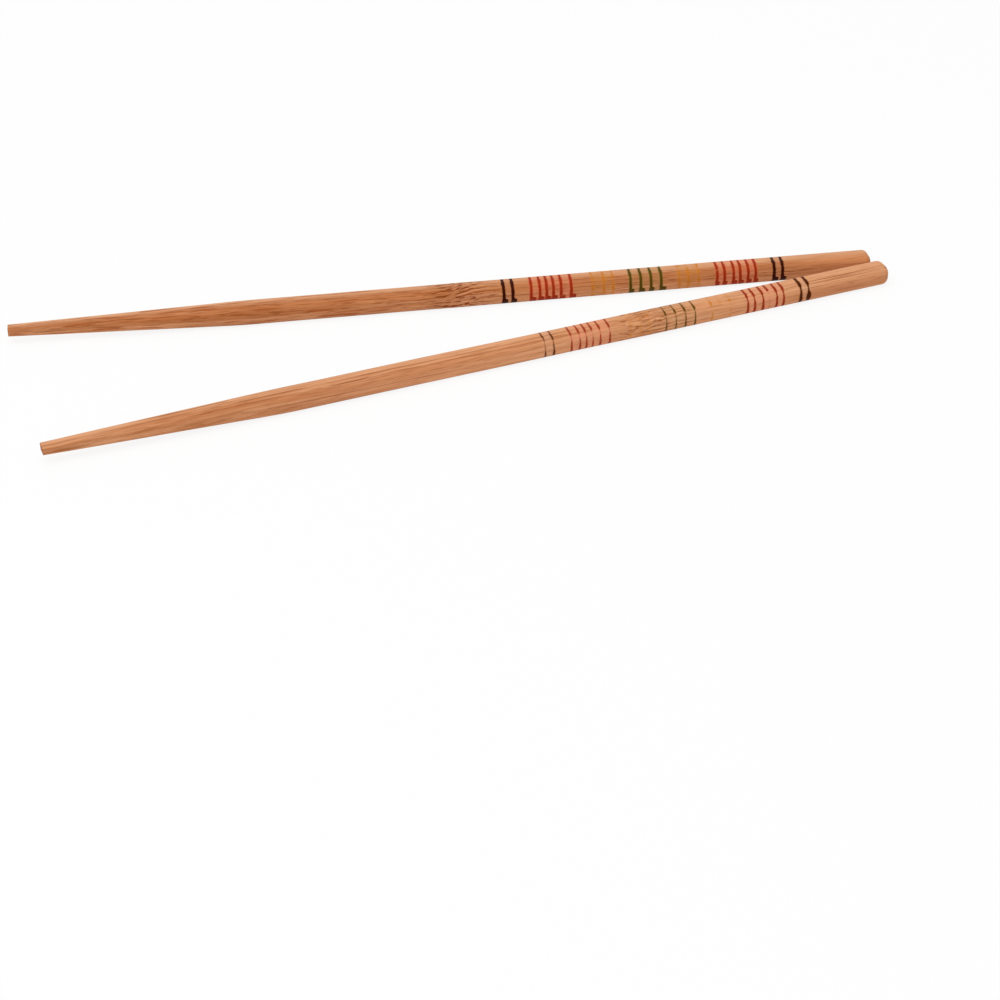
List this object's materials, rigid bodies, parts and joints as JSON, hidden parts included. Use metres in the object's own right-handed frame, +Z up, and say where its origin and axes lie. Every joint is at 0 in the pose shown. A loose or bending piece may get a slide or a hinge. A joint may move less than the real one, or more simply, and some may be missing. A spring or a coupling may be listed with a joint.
{
  "type": "pair of bamboo chopsticks",
  "caption": "Slim bamboo chopsticks laid side by side, with long tapers, flat-cut tips, rounded handle ends and thin painted rings, for picking up food.",
  "frame": {"origin": "middle of the pair's box, on the surface that the sticks lie on", "axes": "+X from the tips to the handles along the middle of the spread, +Z up from that surface"},
  "size_m": [0.2408, 0.0638, 0.0059],
  "materials": {
    "bamboo": "bare satin carbonised bamboo with lengthwise fibres and thin painted rings"
  },
  "bodies": {
    "root": {"rear_chopstick": "bamboo", "front_chopstick": "bamboo"}
  },
  "joints": []
}
